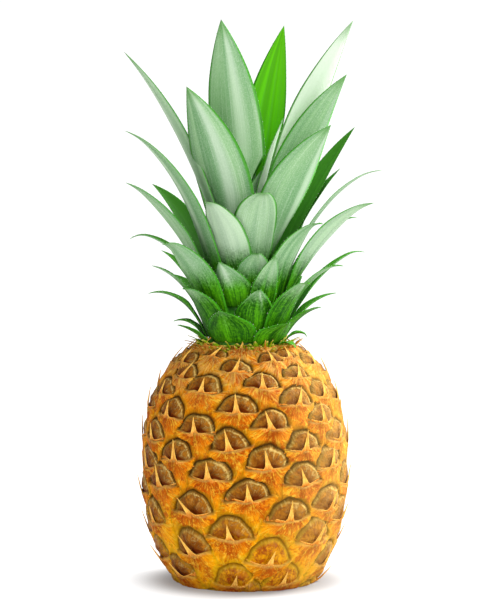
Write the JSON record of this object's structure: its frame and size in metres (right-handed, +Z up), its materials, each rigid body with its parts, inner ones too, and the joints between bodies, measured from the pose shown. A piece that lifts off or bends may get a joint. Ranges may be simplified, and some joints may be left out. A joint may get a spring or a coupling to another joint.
{
  "type": "pineapple",
  "caption": "Whole fresh pineapple standing on its cut base: a barrel of raised spiral eyes with bract points, and a spiky crown of channelled tapering leaves.",
  "frame": {"origin": "centre of the flat cut base, on the fruit's axis", "axes": "+Z up along the fruit's axis towards the crown; -Y is the front, where the two broad pale leaves cross the crown's middle; +X is to the right seen from the front"},
  "size_m": [0.1592, 0.1418, 0.349],
  "materials": {
    "fruit_skin": "half-gloss waxy rind, orange to olive brown, with dry papery bracts",
    "crown_stem": "matt pale yellow-green packed leaf bases",
    "crown_leaf": "satin leaf, glaucous outside, with fine lengthwise streaks"
  },
  "bodies": {
    "root": {"crown_leaf_01": "crown_leaf", "crown_leaf_02": "crown_leaf", "crown_leaf_03": "crown_leaf", "crown_leaf_04": "crown_leaf", "crown_leaf_05": "crown_leaf", "crown_leaf_06": "crown_leaf", "crown_leaf_07": "crown_leaf", "crown_leaf_08": "crown_leaf", "crown_leaf_09": "crown_leaf", "crown_leaf_10": "crown_leaf", "crown_leaf_11": "crown_leaf", "crown_leaf_12": "crown_leaf", "crown_leaf_13": "crown_leaf", "crown_leaf_14": "crown_leaf", "crown_leaf_15": "crown_leaf", "crown_leaf_16": "crown_leaf", "crown_leaf_17": "crown_leaf", "crown_leaf_18": "crown_leaf", "crown_leaf_19": "crown_leaf", "crown_leaf_20": "crown_leaf", "crown_leaf_21": "crown_leaf", "crown_leaf_22": "crown_leaf", "crown_leaf_23": "crown_leaf", "crown_leaf_24": "crown_leaf", "crown_leaf_25": "crown_leaf", "crown_leaf_26": "crown_leaf", "crown_leaf_27": "crown_leaf", "crown_leaf_28": "crown_leaf", "crown_leaf_29": "crown_leaf", "crown_leaf_30": "crown_leaf", "crown_leaf_31": "crown_leaf", "crown_leaf_32": "crown_leaf", "crown_leaf_33": "crown_leaf", "crown_leaf_34": "crown_leaf", "crown_leaf_35": "crown_leaf", "crown_leaf_36": "crown_leaf", "crown_leaf_37": "crown_leaf", "crown_leaf_38": "crown_leaf", "crown_leaf_39": "crown_leaf", "crown_leaf_40": "crown_leaf", "crown_leaf_41": "crown_leaf", "crown_leaf_42": "crown_leaf", "crown_leaf_43": "crown_leaf", "crown_leaf_44": "crown_leaf", "crown_leaf_45": "crown_leaf", "crown_leaf_46": "crown_leaf", "crown_leaf_47": "crown_leaf", "crown_leaf_48": "crown_leaf", "crown_leaf_49": "crown_leaf", "crown_leaf_50": "crown_leaf", "crown_leaf_51": "crown_leaf", "crown_leaf_52": "crown_leaf", "crown_leaf_53": "crown_leaf", "crown_leaf_54": "crown_leaf", "crown_leaf_55": "crown_leaf", "crown_stem": "crown_stem", "fruit": "fruit_skin"}
  },
  "joints": []
}
